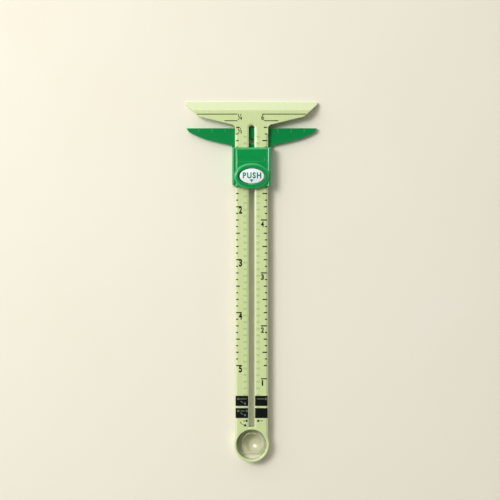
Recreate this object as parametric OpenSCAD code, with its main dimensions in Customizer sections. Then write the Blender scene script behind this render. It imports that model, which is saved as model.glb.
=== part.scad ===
// Sliding sewing gauge: a T-headed rule with a locking slider, and a ring with a turning pivot disc.
// It lies flat. X runs across, Y runs towards the head, Z is up, and the underside is at zero.
// Places along the rule are distances from the head's measuring edge.
// Places on the slider are distances from the measuring edge of its fingers.

/* [Layout] */
// From the head's edge to the finger edge, with the slider at its upper stop
first_mark = 12.7; // [10:0.1:20]
// Travel of the slider, a whole number of notches
slide_travel = 114.3; // [60:3.175:114.3]
// From the head's edge to the centre of the ring
pivot_reach = 165.1; // [165.1:0.1:190]
// Gap left between the slider and the head at the upper stop
stop_gap = 0.5; // [0.2:0.1:1]

/* [Rule bar] */
// Width of the bar
bar_w = 15.875; // [14:0.125:20]
// Thickness of the bar
bar_t = 2.4; // [1.8:0.1:3.5]
// Width of the bevel along each long edge of the bar
bar_bevel_w = 1; // [0.4:0.1:1.6]
// Drop of the bevel along each long edge of the bar
bar_bevel_h = 0.6; // [0.2:0.1:1]
// Width of the slot
slot_w = 2.8; // [2.4:0.1:3.6]
// From the head's edge to the closed end of the slot
slot_start = 11.5; // [10:0.1:14]
// Width of the bevel along the slot
slot_bevel_w = 0.9; // [0.3:0.1:1.2]
// Drop of the bevel along the slot
slot_bevel_h = 0.3; // [0.1:0.05:0.6]

/* [T head] */
// Length of the measuring edge
head_span = 63.5; // [56:0.5:80]
// Thickness at the measuring edge
head_edge_t = 1.2; // [0.6:0.1:2]
// Width of the bevel behind the measuring edge
head_bevel_w = 4.5; // [3:0.1:5]
// Height of the square end of each arm
head_tip_h = 1.2; // [0.5:0.1:2]
// From each arm's end to its lower corner, across
head_taper_x = 6.35; // [4:0.05:9]
// From the measuring edge to each arm's lower corner
head_taper_s = 7.3; // [6.5:0.1:8.5]
// From the measuring edge to the root of each arm
head_root_s = 11.6; // [10:0.1:12]
// Radius in the corner between arm and bar
head_fillet_r = 1.8; // [0.5:0.1:2.4]
// Radius of each arm's lower corner
head_corner_r = 1.6; // [0.5:0.1:3]
// Radius of the two corners at the square end of each arm
head_tip_r = 0.3; // [0.1:0.1:0.4]
// Height of the moulding pockets under the head
core_h = 3.2; // [1:0.1:3.4]
// Thickness of the walls and ribs round those pockets
core_wall = 1.3; // [0.8:0.1:2]

/* [Lock] */
// Spacing of the notches
notch_pitch = 3.175; // [2.8:0.005:4]
// From the head's edge to the first notch, at least
rack_start = 16.5; // [15:0.1:22]
// Length of a notch along the rule, at its mouth
notch_mouth = 1.1; // [0.8:0.05:1.6]
// Length of a notch along the rule, at its root
notch_root = 0.7; // [0.4:0.05:0.8]
// Depth of a notch
notch_h = 0.7; // [0.4:0.05:1]
// Width of each row of notches
notch_w = 2; // [1.2:0.1:2.4]
// Strip of bar between the slot and the notches
notch_inset = 0.7; // [0.5:0.1:1]
// Clearance of a tooth in its notch, each way
tooth_gap = 0.1; // [0.05:0.01:0.2]
// Thickness of the pawl's plate
pawl_t = 0.8; // [0.6:0.05:1.2]
// Length of the pawl's plate
pawl_l = 8.6; // [8:0.1:10]
// Strip of the pawl's plate outside each row of teeth
pawl_margin = 0.3; // [0.1:0.05:0.5]
// Radius of the corners of the pawl's plate
pawl_corner_r = 0.8; // [0.3:0.1:1.2]

/* [Slider base] */
// Thickness of the base and its fingers
base_t = 2.4; // [2.3:0.1:3.5]
// How far each finger's tip stands in from the end of the head
finger_inset = 0.25; // [0:0.05:2]
// From each finger's tip to the end of its blunt nose, across
finger_nose_x = 1.2; // [0.6:0.1:2]
// Height of each finger's blunt nose
finger_nose_h = 1.9; // [1:0.1:2.4]
// From each finger's tip to the bend in its lower edge, across
finger_bend_x = 7.5; // [5:0.1:10]
// From the finger edge to that bend
finger_bend_t = 5.1; // [4:0.1:6]
// Radius of that bend
finger_bend_r = 36; // [4:1:40]
// Radius between each finger's nose and its lower edge
finger_nose_r = 1.5; // [0.3:0.1:2]
// From the finger edge to the root of each finger
finger_root_t = 8.4; // [7.5:0.1:9]
// Radius in the corner between finger and base
finger_root_r = 1.2; // [0.3:0.1:1.2]
// Bevel on the finger edge
finger_bevel = 0.35; // [0.1:0.05:0.6]
// Spacing of the raised marks on the fingers
finger_tick_step = 6.35; // [5:0.05:8]
// Length of a raised mark
finger_tick_l = 1.7; // [1:0.1:2.4]
// Width of a raised mark
finger_tick_w = 0.3; // [0.2:0.05:0.5]
// Height of a raised mark
finger_tick_h = 0.15; // [0.1:0.05:0.3]
// From the finger edge to the pencil hole
pencil_hole_t = 6.35; // [5.5:0.05:7]
// Clearance between the pencil hole's wall and the slot's edge
pencil_hole_gap = 0.15; // [0.05:0.05:0.4]
// Depth of the funnel that leads into the pencil hole
pencil_funnel_h = 0.4; // [0.2:0.1:0.8]
// Thickness of the floor under the pawl
pocket_floor = 0.8; // [0.5:0.05:1]

/* [Slider cover] */
// Thickness of the side walls
wall_t = 1.26; // [1.1:0.02:2]
// From the finger edge to the front of the cover
cover_front_t = 9.6; // [9:0.1:10.5]
// From the finger edge to the end of the cover, on the centreline
cover_end_t = 29.5; // [29.4:0.1:29.9]
// How far the end of the cover bulges
cover_end_bulge = 1.8; // [1:0.1:2.4]
// Radius of the corners at the end of the cover
cover_corner_r = 1; // [0.3:0.1:1.2]
// Radius along the front of the cover
cover_front_r = 1.6; // [0.6:0.1:1.7]
// Radius along the end of the cover
cover_end_r = 0.6; // [0.3:0.1:1]
// Radius along the outer edge of each side rail
rail_r = 0.9; // [0.4:0.1:1]
// Width of the groove between the deck and each side rail
rail_groove_w = 1.4; // [0.8:0.1:1.6]
// Depth of that groove
rail_groove_h = 0.5; // [0.2:0.05:0.7]
// Rounding along that groove
rail_groove_r = 0.2; // [0.1:0.05:0.3]
// Drop from the deck to each side rail
rail_drop = 0.25; // [0.1:0.05:0.5]
// Width of each side rail
rail_w = 1; // [0.9:0.05:1.2]
// Width of the bare panel sunk in the deck
panel_w = 12.4; // [8:0.1:13]
// Length of that panel
panel_l = 2.4; // [1:0.1:2.6]
// Depth of that panel
panel_h = 0.15; // [0.1:0.05:0.3]
// Gap between that panel and the oval surround
panel_gap = 0.6; // [0.3:0.1:1]
// Thickness of the roof over the button's lugs
roof_t = 0.85; // [0.6:0.05:1.2]
// Rise of the oval surround above the deck
surround_rise = 1; // [0.5:0.1:1.2]
// Reach of the surround past the hollow for the button, across
surround_rim_x = 1.4; // [1.1:0.05:1.5]
// Reach of the surround past the hollow for the button, along the rule
surround_rim_y = 1.85; // [1.5:0.05:2]
// Width of the rounded slope round the oval surround
surround_slope = 1.5; // [1:0.1:2]
// Height of the rib that joins the cover to the base
tongue_h = 0.7; // [0.4:0.1:1]
// Width of that rib
tongue_w = 0.5; // [0.4:0.05:0.7]

/* [Guide plate] */
// Thickness of the guide plate
plate_t = 0.6; // [0.4:0.05:1]
// From each side of the bar's channel to the guide plate
plate_inset = 0.8; // [0.6:0.1:1.2]
// From the finger edge to the front of the guide plate
plate_front_t = 14.4; // [13:0.1:16]
// Radius of the pegs that hold the guide plate
peg_r = 0.6; // [0.4:0.05:0.7]
// Height of the pegs
peg_h = 0.6; // [0.4:0.05:0.7]

/* [Push button] */
// From the finger edge to the centre of the button
button_t = 23.6; // [23.2:0.05:23.7]
// Width of the button's cap
cap_w = 11.85; // [11:0.05:12.6]
// Length of the button's cap
cap_l = 7.25; // [7.2:0.05:8]
// How far the cap sits to the right in its opening
cap_shift_x = 0.2; // [0:0.02:0.4]
// How far the cap sits towards the head in its opening
cap_shift_y = 0; // [0:0.02:0.2]
// Height of the cap above the surround
cap_proud = 0.5; // [0.2:0.1:1]
// Radius of the crown on the cap
cap_crown_r = 60; // [40:5:150]
// Thickness of the cap's walls and top
cap_wall = 0.8; // [0.6:0.05:1]
// Gap at each end of the cap across its opening, with the cap in the middle
cap_gap_x = 0.5; // [0.42:0.02:0.6]
// Gap on each side of the cap along its opening, with the cap in the middle
cap_gap_y = 0.26; // [0.22:0.02:0.4]
// Width of the two lugs that hold the button down
lug_w = 3; // [3:0.1:6]
// How far each lug reaches under the roof
lug_reach = 0.4; // [0.25:0.05:0.5]
// Thickness of the lugs
lug_t = 0.5; // [0.4:0.05:0.8]
// Travel of the button
button_travel = 0.7; // [0.5:0.05:0.8]
// Length of the stem along the slot
stem_l = 3.6; // [3:0.1:4.2]
// Clearance of the stem in the slot, each side
stem_gap = 0.2; // [0.1:0.05:0.3]
// Shoulder left round the stem's tenon
tenon_shoulder = 0.4; // [0.2:0.05:0.5]
// Diameter of the spring's wire
spring_wire = 0.3; // [0.2:0.05:0.35]
// Clearance of the spring round the stem's corners
spring_gap = 0.15; // [0.1:0.05:0.25]
// Turns of the spring
spring_turns = 2.5; // [2:0.25:3]

/* [Ring and disc] */
// Radius of the ring's bore
ring_bore_r = 7.3; // [6.8:0.1:7.6]
// Thickness of the ring's wall
ring_wall = 1.1; // [0.9:0.05:1.1]
// Rounding on the ring's top edges
ring_edge = 0.3; // [0.1:0.05:0.4]
// Depth of the groove inside the ring
ring_groove_d = 0.35; // [0.2:0.05:0.45]
// Height of the groove above the underside
ring_groove_z = 0.9; // [0.6:0.1:1.2]
// Width of the groove
ring_groove_w = 0.8; // [0.5:0.05:1]
// Running clearance between disc and ring
disc_gap = 0.08; // [0.04:0.01:0.1]
// Thickness of the disc's plate
disc_t = 2.2; // [1.8:0.1:3]
// Bevel on the edges of the disc's plate
disc_edge = 0.2; // [0.1:0.05:0.3]
// From the disc's centre to each flat
disc_flat_r = 5.6; // [5:0.1:6.2]
// Radius of the disc's boss
disc_boss_r = 4.6; // [3.8:0.1:5]
// Height of the disc's boss above the plate
disc_boss_h = 2; // [1:0.1:2.4]
// Bevel on the edge of the boss
boss_edge = 0.4; // [0.1:0.1:0.5]
// Radius of the thumb dish in the boss
disc_dish_r = 3.2; // [2:0.1:3.6]
// Depth of the thumb dish
disc_dish_h = 0.6; // [0.2:0.1:1]
// Slope of the dish's side, across
dish_slope = 0.2; // [0.1:0.05:0.3]
// Radius of the centre dimple
disc_dimple_r = 0.6; // [0.4:0.1:1]

/* [Clearances] */
// Sliding clearance above and below the bar
slide_gap_z = 0.15; // [0.1:0.01:0.2]
// Sliding clearance on each side of the bar
slide_gap_x = 0.15; // [0.1:0.01:0.2]
// Clearance of fixed pieces in their seats
seat_gap = 0.05; // [0.03:0.01:0.1]
// Clearance at each end of the button's travel
stop_clear = 0.05; // [0.03:0.01:0.1]
// Clearance of the pawl in its pocket
pocket_gap = 0.25; // [0.15:0.05:0.4]

/* [Hidden] */
$fn = 64;
body_green = [0.82, 0.88, 0.63];
slider_green = [0, 0.58, 0.28];
slider_dark = [0.01, 0.4, 0.18];
// Reach of a cutter past the face that it cuts
past = 1;
// Steps in each rounded corner of an outline
corner_steps = 6;
// Sides of an oval outline
oval_sides = 72;

// Places along the rule
ring_r = ring_bore_r + ring_wall;
head_y = (pivot_reach + ring_r) / 2;
foot_s = first_mark - stop_gap;
button_s = first_mark + button_t;
slot_end = pivot_reach - ring_bore_r - ring_wall / 2;
function at(s) = head_y - s;
function on_slider(t) = at(first_mark + t);

// Heights, from the underside up
bar_z = base_t + slide_gap_z;
bar_top = bar_z + bar_t;
plate_z = bar_top + slide_gap_z;
plate_top = plate_z + plate_t;
lug_z = plate_top + stop_clear + button_travel;
roof_z = lug_z + lug_t + stop_clear;
surround_z = roof_z + roof_t;
deck_z = surround_z - surround_rise;
cap_z = surround_z + cap_proud;
cap_inside_z = cap_z - cap_wall;
pawl_z = bar_z - 2 * stop_clear - pawl_t;

// Widths
inner_w = bar_w + 2 * slide_gap_x;
cover_w = inner_w + 2 * wall_t;
rack_x = slot_w / 2 + notch_inset;
tooth_w = notch_w - 2 * tooth_gap;
pawl_w = 2 * (rack_x + notch_w - tooth_gap + pawl_margin);
stem_w = slot_w - 2 * stem_gap;
tenon_w = stem_w - 2 * tenon_shoulder;
tenon_l = stem_l - 2 * tenon_shoulder;
opening_x = cap_w / 2 + cap_gap_x;
opening_y = cap_l / 2 + cap_gap_y;
lug_y = opening_y + lug_reach;
cavity_x = opening_x + lug_reach + pocket_gap;
cavity_y = lug_y + pocket_gap;
surround_x = cavity_x + surround_rim_x;
surround_y = cavity_y + surround_rim_y;
plate_w = inner_w - 2 * plate_inset;
plate_end_t = cover_end_t - wall_t;
spring_r = norm([stem_w, stem_l]) / 2 + spring_gap + spring_wire / 2;
pencil_hole_r = slot_w / 2 - pencil_hole_gap;

// Notches: one stands over each tooth, and the rest follow at the same spacing
tooth_rows = [-1, 1];
first_notch = ceil((rack_start - button_s) / notch_pitch);
last_notch = round(slide_travel / notch_pitch) + 1;

// One corner [x, y, radius] between its neighbours, as the points of its arc
function unit(v) = v / norm(v);
function corner_arc(a, b, c) =
    b[2] == 0 ? [[b[0], b[1]]] :
    let (
        p = [b[0], b[1]],
        u = unit([a[0], a[1]] - p),
        v = unit([c[0], c[1]] - p),
        half = acos(u * v) / 2,
        centre = p + unit(u + v) * b[2] / sin(half),
        first = p + u * b[2] / tan(half) - centre,
        last = p + v * b[2] / tan(half) - centre,
        start = atan2(first[1], first[0]),
        turn = atan2(first[0] * last[1] - first[1] * last[0], first * last)
    )
    [for (i = [0 : corner_steps])
        let (angle = start + turn * i / corner_steps)
        centre + b[2] * [cos(angle), sin(angle)]];

// An outline from its corners [x, y, radius]
function rounded(corners) =
    let (n = len(corners))
    [for (i = [0 : n - 1])
        each corner_arc(corners[(i + n - 1) % n], corners[i], corners[(i + 1) % n])];

// The corners of a whole outline from those of its right half, listed from the top down
function both_halves(right) =
    concat(right, [for (i = [len(right) - 1 : -1 : 0]) [-right[i][0], right[i][1], right[i][2]]]);

// An oval outline
function oval(rx, ry) =
    [for (i = [0 : oval_sides - 1])
        let (angle = 360 * i / oval_sides)
        [rx * cos(angle), ry * sin(angle)]];

// The bulging end of the slider, from right to left, for a half width and its place at the middle
function bulging_end(half_w, end_t) =
    let (
        r = (pow(cover_w / 2, 2) + pow(cover_end_bulge, 2)) / (2 * cover_end_bulge),
        reach = asin(half_w / r)
    )
    [for (i = [-8 : 8])
        let (angle = -reach * i / 8)
        [r * sin(angle), on_slider(end_t - r * (1 - cos(angle)))]];

// A solid with a section in X and Z, running along Y
module along_y(y0, y1) {
    translate([0, y1, 0])
        rotate([90, 0, 0])
            linear_extrude(y1 - y0)
                children();
}

// A solid with a section in Y and Z, running along X
module along_x(x0, x1) {
    translate([x0, 0, 0])
        rotate([90, 0, 90])
            linear_extrude(x1 - x0)
                children();
}

// The T head: arms with tapered ends, a bevelled edge and a foot that stands on the table
module head() {
    tip_x = head_span / 2;
    intersection() {
        difference() {
            linear_extrude(bar_top)
                polygon(rounded(both_halves([
                    [tip_x, at(0), head_tip_r],
                    [tip_x, at(head_tip_h), head_tip_r],
                    [tip_x - head_taper_x, at(head_taper_s), head_corner_r],
                    [bar_w / 2, at(head_root_s), head_fillet_r],
                    [bar_w / 2, at(foot_s + 2 * head_fillet_r), 0]
                ])));
            translate([-tip_x, at(foot_s + 3 * head_fillet_r), -past])
                cube([2 * tip_x, 3 * head_fillet_r, bar_z + past]);
        }
        along_x(-tip_x, tip_x)
            polygon([
                [at(0), 0],
                [at(0), head_edge_t],
                [at(head_bevel_w), bar_top],
                [at(foot_s + 3 * head_fillet_r), bar_top],
                [at(foot_s + 3 * head_fillet_r), 0]
            ]);
    }
}

// Lower edge of an arm, as a distance from the measuring edge
function arm_s(x) =
    let (corner_x = head_span / 2 - head_taper_x)
    head_root_s - (head_root_s - head_taper_s) * (x - bar_w / 2) / (corner_x - bar_w / 2);

// A moulding pocket under the head between two places across
module core_pocket(x0, x1, s0, end0, end1) {
    translate([0, 0, -past])
        linear_extrude(core_h + past)
            polygon([[x0, at(s0)], [x1, at(s0)], [x1, at(end1)], [x0, at(end0)]]);
}

// The pockets: three under each arm and two behind the bar's root
module head_pockets() {
    arm_start = bar_w / 2 + core_wall / 2;
    arm_end = head_span / 2 - head_taper_x - core_wall;
    cell = (arm_end - arm_start + core_wall) / 3;
    pocket_s = head_bevel_w - core_wall / 4;
    for (side = [0, 1])
        mirror([side, 0, 0]) {
            for (i = [0 : 2]) {
                x0 = arm_start + i * cell;
                x1 = x0 + cell - core_wall;
                core_pocket(x0, x1, pocket_s, arm_s(x0) - core_wall, arm_s(x1) - core_wall);
            }
            core_pocket(core_wall / 2, bar_w / 2 - core_wall / 2, pocket_s,
                slot_start - core_wall, slot_start - core_wall);
        }
}

// The raised rule bar with its bevelled edges
module bar() {
    edge_x = bar_w / 2;
    along_y(at(pivot_reach), at(head_bevel_w))
        polygon([
            [-edge_x, bar_z],
            [edge_x, bar_z],
            [edge_x, bar_top - bar_bevel_h],
            [edge_x - bar_bevel_w, bar_top],
            [-edge_x + bar_bevel_w, bar_top],
            [-edge_x, bar_top - bar_bevel_h]
        ]);
}

// The slot with its round end and its bevel
module slot() {
    r = slot_w / 2;
    end_y = at(slot_start + r);
    translate([0, end_y, bar_z - past])
        cylinder(h = bar_t + 2 * past, r = r);
    translate([-r, at(slot_end), bar_z - past])
        cube([slot_w, end_y - at(slot_end), bar_t + 2 * past]);
    translate([0, end_y, bar_top - slot_bevel_h])
        cylinder(h = slot_bevel_h * 2, r1 = r, r2 = r + 2 * slot_bevel_w);
    along_y(at(slot_end), end_y)
        polygon([
            [-r, bar_top - slot_bevel_h],
            [r, bar_top - slot_bevel_h],
            [r + 2 * slot_bevel_w, bar_top + slot_bevel_h],
            [-r - 2 * slot_bevel_w, bar_top + slot_bevel_h]
        ]);
}

// Half of a notch's length at a height above the bar's underside
function notch_half(h, gap) =
    (notch_mouth + (notch_root - notch_mouth) * h / notch_h) / 2 - gap;

// Outline of the notches, which cuts both rows
function rack_outline() =
    let (below = 0.2)
    concat(
        [for (k = [last_notch : -1 : first_notch])
            let (y = at(button_s + k * notch_pitch))
            each [
                [y - notch_half(-below, 0), bar_z - below],
                [y - notch_half(notch_h, 0), bar_z + notch_h],
                [y + notch_half(notch_h, 0), bar_z + notch_h],
                [y + notch_half(-below, 0), bar_z - below]
            ]],
        [
            [at(button_s + first_notch * notch_pitch) + notch_mouth, bar_z - past],
            [at(button_s + last_notch * notch_pitch) - notch_mouth, bar_z - past]
        ]
    );

// The ring at the far end, with a groove that holds the disc
module ring() {
    translate([0, at(pivot_reach), 0])
        rotate_extrude($fn = 128)
            polygon([
                [ring_bore_r, 0],
                [ring_r, 0],
                [ring_r, bar_top - ring_edge],
                [ring_r - ring_edge, bar_top],
                [ring_bore_r + ring_edge, bar_top],
                [ring_bore_r, bar_top - ring_edge],
                [ring_bore_r, ring_groove_z + ring_groove_w],
                [ring_bore_r + ring_groove_d, ring_groove_z + ring_groove_w - ring_groove_d / 2],
                [ring_bore_r + ring_groove_d, ring_groove_z + ring_groove_d / 2],
                [ring_bore_r, ring_groove_z]
            ]);
}

module gauge_body() {
    color(body_green)
        union() {
            difference() {
                union() {
                    head();
                    bar();
                }
                head_pockets();
                slot();
                for (side = [0, 1])
                    mirror([side, 0, 0])
                        along_x(rack_x, rack_x + notch_w)
                            polygon(rack_outline());
                translate([0, at(pivot_reach), bar_z - past])
                    cylinder(h = bar_t + 2 * past, r = ring_bore_r + ring_wall / 2);
            }
            ring();
        }
}

// Outline of the slider behind its fingers, shared by the base and the cover
module slider_outline(front_t) {
    bulge = bulging_end(cover_w / 2, cover_end_t);
    last = len(bulge) - 1;
    polygon(rounded(concat(
        [[-cover_w / 2, on_slider(front_t), 0], [cover_w / 2, on_slider(front_t), 0]],
        [for (i = [0 : last])
            [bulge[i][0], bulge[i][1], i == 0 || i == last ? cover_corner_r : 0]]
    )));
}

// The two fingers, with their bevelled edge and raised marks
module fingers() {
    tip_x = head_span / 2 - finger_inset;
    nose_x = tip_x - finger_nose_x;
    difference() {
        linear_extrude(base_t)
            polygon(rounded(both_halves([
                [tip_x, on_slider(0), 0],
                [nose_x, on_slider(finger_nose_h), finger_nose_r],
                [tip_x - finger_bend_x, on_slider(finger_bend_t), finger_bend_r],
                [cover_w / 2, on_slider(finger_root_t), finger_root_r],
                [cover_w / 2, on_slider(cover_front_t + wall_t), 0]
            ])));
        along_x(-tip_x - past, tip_x + past)
            polygon([
                [on_slider(finger_bevel), base_t + past],
                [on_slider(finger_bevel), base_t],
                [on_slider(0), base_t - finger_bevel],
                [on_slider(-past), base_t - finger_bevel - past],
                [on_slider(-past), base_t + past]
            ]);
    }
    for (side = [-1, 1], i = [2 : 4])
        translate([
            side * i * finger_tick_step - finger_tick_w / 2,
            on_slider(finger_bevel + finger_tick_l),
            base_t - finger_bevel
        ])
            cube([finger_tick_w, finger_tick_l, finger_bevel + finger_tick_h]);
}

module slider_base() {
    tongue_x = cover_w / 2 - wall_t / 2;
    color(slider_dark)
        difference() {
            union() {
                fingers();
                linear_extrude(base_t)
                    slider_outline(cover_front_t);
            }
            translate([0, on_slider(pencil_hole_t), -past])
                cylinder(h = base_t + 2 * past, r = pencil_hole_r);
            translate([0, on_slider(pencil_hole_t), base_t - pencil_funnel_h])
                cylinder(h = 2 * pencil_funnel_h, r1 = pencil_hole_r,
                    r2 = pencil_hole_r + 2 * pencil_funnel_h);
            translate([
                -pawl_w / 2 - pocket_gap,
                on_slider(button_t) - pawl_l / 2 - pocket_gap,
                pocket_floor
            ])
                cube([pawl_w + 2 * pocket_gap, pawl_l + 2 * pocket_gap, base_t]);
            for (side = [-1, 1])
                translate([
                    side * tongue_x - tongue_w / 2 - seat_gap,
                    on_slider(cover_end_t - 2 * cover_end_bulge) - seat_gap,
                    base_t - tongue_h - seat_gap
                ])
                    cube([tongue_w + 2 * seat_gap,
                        cover_end_t - cover_front_t - 3 * cover_end_bulge + 2 * seat_gap,
                        base_t]);
        }
}

// Section of the cover: a flat deck, a groove on each side and a rounded rail outside it
function cover_section() =
    let (
        edge_x = cover_w / 2,
        groove_x = edge_x - rail_w - rail_groove_w / 2
    )
    rounded(both_halves([
        [groove_x - rail_groove_w / 2, deck_z, rail_groove_r],
        [groove_x, deck_z - rail_groove_h, rail_groove_r],
        [groove_x + rail_groove_w / 2, deck_z - rail_drop, rail_groove_r],
        [edge_x, deck_z - rail_drop, rail_r],
        [edge_x, base_t, 0]
    ]));

// The outer form of the housing, cut to its front radius and its bulging end
module housing() {
    front_y = on_slider(cover_front_t);
    end_y = on_slider(cover_end_t);
    intersection() {
        along_y(end_y, front_y)
            polygon(cover_section());
        along_x(-cover_w / 2, cover_w / 2)
            polygon(rounded([
                [end_y, base_t, 0],
                [front_y, base_t, 0],
                [front_y, deck_z, cover_front_r],
                [end_y, deck_z, cover_end_r]
            ]));
        translate([0, 0, base_t])
            linear_extrude(deck_z)
                slider_outline(cover_front_t);
    }
}

// The raised oval surround with its rounded slope, cut off flush with the end of the housing
module surround() {
    slices = 6;
    foot = 0.5;
    skin = 0.01;
    intersection() {
        translate([0, on_slider(button_t), deck_z - foot])
            hull()
                for (i = [0 : slices - 1]) {
                    angle = 90 * i / (slices - 1);
                    inset = surround_slope * (1 - cos(angle));
                    translate([0, 0, (surround_rise + foot - skin) * sin(angle)])
                        linear_extrude(skin)
                            polygon(oval(surround_x - inset, surround_y - inset));
                }
        linear_extrude(surround_z)
            slider_outline(cover_front_t);
    }
}

// An oval hole round the button's centre
module oval_hole(rx, ry, z0, z1) {
    translate([0, on_slider(button_t), z0])
        linear_extrude(z1 - z0)
            polygon(oval(rx, ry));
}

// The bare panel in the deck, in front of the surround
module deck_panel() {
    panel_t = button_t - surround_y - panel_gap - panel_l / 2;
    translate([0, on_slider(panel_t), deck_z - panel_h])
        linear_extrude(panel_h + past)
            polygon(rounded(both_halves([
                [panel_w / 2, panel_l / 2, panel_l / 3],
                [panel_w / 2, -panel_l / 2, panel_l / 3]
            ])));
}

// Places of the pegs, two at the front and two at the end of the guide plate
peg_places = [
    for (side = [-1, 1])
        each [
            [side * (plate_w / 2 - 2 * peg_r), on_slider(plate_front_t + 2 * peg_r)],
            [side * (plate_w / 2 - 2 * peg_r), on_slider(plate_end_t - cover_end_bulge)]
        ]
];

// Outline of the guide plate, or of the recess that it lies in
module plate_outline(gap) {
    half_w = plate_w / 2 + gap;
    front_y = on_slider(plate_front_t - gap);
    polygon(concat(
        [[-half_w, front_y], [half_w, front_y]],
        bulging_end(half_w, plate_end_t + gap)
    ));
}

module slider_cover() {
    tongue_x = cover_w / 2 - wall_t / 2;
    color(slider_green)
        union() {
            difference() {
                union() {
                    difference() {
                        housing();
                        deck_panel();
                    }
                    surround();
                }
                along_y(on_slider(cover_end_t + past), on_slider(cover_front_t - past))
                    polygon([
                        [-inner_w / 2, base_t - past],
                        [inner_w / 2, base_t - past],
                        [inner_w / 2, plate_z],
                        [-inner_w / 2, plate_z]
                    ]);
                translate([0, 0, plate_z - past])
                    linear_extrude(plate_t + past)
                        plate_outline(seat_gap);
                oval_hole(cavity_x, cavity_y, plate_z - past, roof_z);
                oval_hole(opening_x, opening_y, roof_z - past, surround_z + past);
                for (place = peg_places)
                    translate([place[0], place[1], plate_z])
                        cylinder(h = plate_t + peg_h + seat_gap, r = peg_r + seat_gap);
            }
            for (side = [-1, 1])
                translate([
                    side * tongue_x - tongue_w / 2,
                    on_slider(cover_end_t - 2 * cover_end_bulge),
                    base_t - tongue_h
                ])
                    cube([tongue_w, cover_end_t - cover_front_t - 3 * cover_end_bulge,
                        tongue_h + wall_t]);
        }
}

module guide_plate() {
    hole_w = stem_w + 2 * stem_gap;
    hole_l = stem_l + 2 * stem_gap;
    color(slider_dark)
        union() {
            difference() {
                translate([0, 0, plate_z])
                    linear_extrude(plate_t)
                        plate_outline(0);
                translate([-hole_w / 2, on_slider(button_t) - hole_l / 2, plate_z - past])
                    cube([hole_w, hole_l, plate_t + 2 * past]);
            }
            for (place = peg_places)
                translate([place[0], place[1], plate_z])
                    cylinder(h = plate_t + peg_h, r = peg_r);
        }
}

// The cap with its crowned top, shifted a little in its opening
module cap() {
    translate([cap_shift_x, on_slider(button_t) + cap_shift_y, 0])
        intersection() {
            translate([0, 0, lug_z])
                linear_extrude(cap_z - lug_z)
                    polygon(oval(cap_w / 2, cap_l / 2));
            translate([0, 0, cap_z - cap_crown_r])
                sphere(r = cap_crown_r, $fn = 256);
        }
}

module push_button() {
    stem_top = cap_inside_z + cap_wall / 2;
    color("white")
        union() {
            difference() {
                union() {
                    cap();
                    translate([-lug_w / 2, on_slider(button_t) - lug_y, lug_z])
                        cube([lug_w, 2 * lug_y, lug_t]);
                }
                translate([cap_shift_x, cap_shift_y, 0])
                    oval_hole(cap_w / 2 - cap_wall, cap_l / 2 - cap_wall, lug_z - past,
                        cap_inside_z);
            }
            translate([-stem_w / 2, on_slider(button_t) - stem_l / 2, pawl_z + pawl_t])
                cube([stem_w, stem_l, stem_top - pawl_z - pawl_t]);
            translate([-tenon_w / 2, on_slider(button_t) - tenon_l / 2, pawl_z])
                cube([tenon_w, tenon_l, pawl_t + past]);
        }
}

module lock_pawl() {
    y = on_slider(button_t);
    tooth_top = bar_z + notch_h - tooth_gap;
    color("gainsboro")
        union() {
            difference() {
                translate([0, y, pawl_z])
                    linear_extrude(pawl_t)
                        polygon(rounded(both_halves([
                            [pawl_w / 2, pawl_l / 2, pawl_corner_r],
                            [pawl_w / 2, -pawl_l / 2, pawl_corner_r]
                        ])));
                translate([
                    -tenon_w / 2 - seat_gap,
                    y - tenon_l / 2 - seat_gap,
                    pawl_z - past
                ])
                    cube([tenon_w + 2 * seat_gap, tenon_l + 2 * seat_gap, pawl_t + 2 * past]);
            }
            for (side = [0, 1], row = tooth_rows)
                mirror([side, 0, 0])
                    along_x(rack_x + tooth_gap, rack_x + tooth_gap + tooth_w) {
                        foot = notch_half(pawl_z + pawl_t / 2 - bar_z, tooth_gap);
                        tip = notch_half(notch_h, tooth_gap);
                        polygon([
                            [y + row * notch_pitch - foot, pawl_z + pawl_t / 2],
                            [y + row * notch_pitch + foot, pawl_z + pawl_t / 2],
                            [y + row * notch_pitch + tip, tooth_top],
                            [y + row * notch_pitch - tip, tooth_top]
                        ]);
                    }
        }
}

// A round wire swept along a helix, closed at both ends
module helix(radius, wire, turns, height, sides = 8, steps = 16) {
    rings = round(turns * steps);
    points = [
        for (i = [0 : rings], j = [0 : sides - 1])
            let (
                turn = 360 * i / steps,
                angle = 360 * j / sides,
                out = radius + wire / 2 * cos(angle)
            )
            [out * cos(turn), out * sin(turn), height * i / rings + wire / 2 * sin(angle)]
    ];
    walls = [
        for (i = [0 : rings - 1], j = [0 : sides - 1])
            let (
                a = i * sides + j,
                b = i * sides + (j + 1) % sides
            )
            each [[a, a + sides, b], [b, a + sides, b + sides]]
    ];
    ends = [
        for (j = [1 : sides - 2])
            each [
                [0, j, j + 1],
                [rings * sides, rings * sides + j + 1, rings * sides + j]
            ]
    ];
    polyhedron(points, concat(walls, ends), convexity = 4);
}

module return_spring() {
    color("silver")
        translate([0, on_slider(button_t), plate_top + spring_wire / 2])
            helix(spring_r, spring_wire, spring_turns, cap_inside_z - plate_top - spring_wire);
}

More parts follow.
